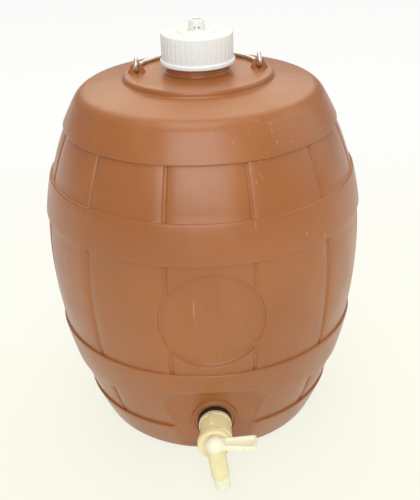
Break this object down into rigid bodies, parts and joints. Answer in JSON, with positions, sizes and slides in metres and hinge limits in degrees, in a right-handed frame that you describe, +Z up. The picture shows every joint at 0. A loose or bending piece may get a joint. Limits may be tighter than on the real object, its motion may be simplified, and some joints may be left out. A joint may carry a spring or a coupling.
{
  "type": "pressure barrel",
  "caption": "Round plastic beer barrel with moulded hoops and staves, a screw cap with a gas valve, a wire bail and a lever tap low at the front.",
  "frame": {"origin": "centre of the foot ring, on the floor plane under the barrel's axis", "axes": "+Z up along the barrel's axis, -Y towards the tap, +X to the right of someone who faces the tap"},
  "size_m": [0.331, 0.3734, 0.437],
  "materials": {
    "barrel_brown": "satin blow moulded plastic",
    "cap_white": "smooth moulded plastic",
    "valve_white": "smooth moulded plastic",
    "tap_cream": "smooth moulded plastic",
    "tap_pale": "smooth moulded plastic",
    "black_rubber": "matt rubber",
    "pin_brass": "turned",
    "wire_steel": "bright plated wire"
  },
  "bodies": {
    "barrel": {"barrel_shell": "barrel_brown", "barrel_base": "barrel_brown", "neck_pad": "barrel_brown", "tap_body": "tap_cream", "tap_outer_washer": "black_rubber", "tap_inner_washer": "black_rubber", "tap_back_nut": "tap_cream"},
    "seal": {"cap_seal": "black_rubber"},
    "cap": {"screw_cap": "cap_white", "valve_body": "valve_white", "valve_washer": "valve_white", "nut_washer": "black_rubber", "valve_nut": "valve_white", "relief_sleeve": "black_rubber", "injector_pin": "pin_brass", "pin_seal": "black_rubber"},
    "bail": {"bail_handle": "wire_steel"},
    "cock": {"tap_plug": "tap_pale", "tap_lever": "tap_pale", "plug_ring_upper": "black_rubber", "plug_ring_lower": "black_rubber"}
  },
  "joints": [
    {"name": "cap_lift", "type": "slide", "parent": "barrel", "child": "seal", "axis": [0, 0, 1], "range_m": [0, 0.012]},
    {"name": "cap_turn", "type": "hinge", "parent": "seal", "child": "cap", "pos_m": [0, 0, 0.41], "axis": [0, 0, 1], "range_deg": [0, 720]},
    {"name": "bail_swing", "type": "hinge", "parent": "barrel", "child": "bail", "pos_m": [0, 0, 0.3944], "axis": [1, 0, 0], "range_deg": [0, 180]},
    {"name": "tap_turn", "type": "hinge", "parent": "barrel", "child": "cock", "pos_m": [-0.001, -0.1925, 0.057], "axis": [-0.1219, 0, 0.9925], "range_deg": [-80, 10]}
  ],
  "couplings": [
    {"joint": "cap_lift", "follows": "cap_turn", "m_per_rad": 0.00095493}
  ]
}
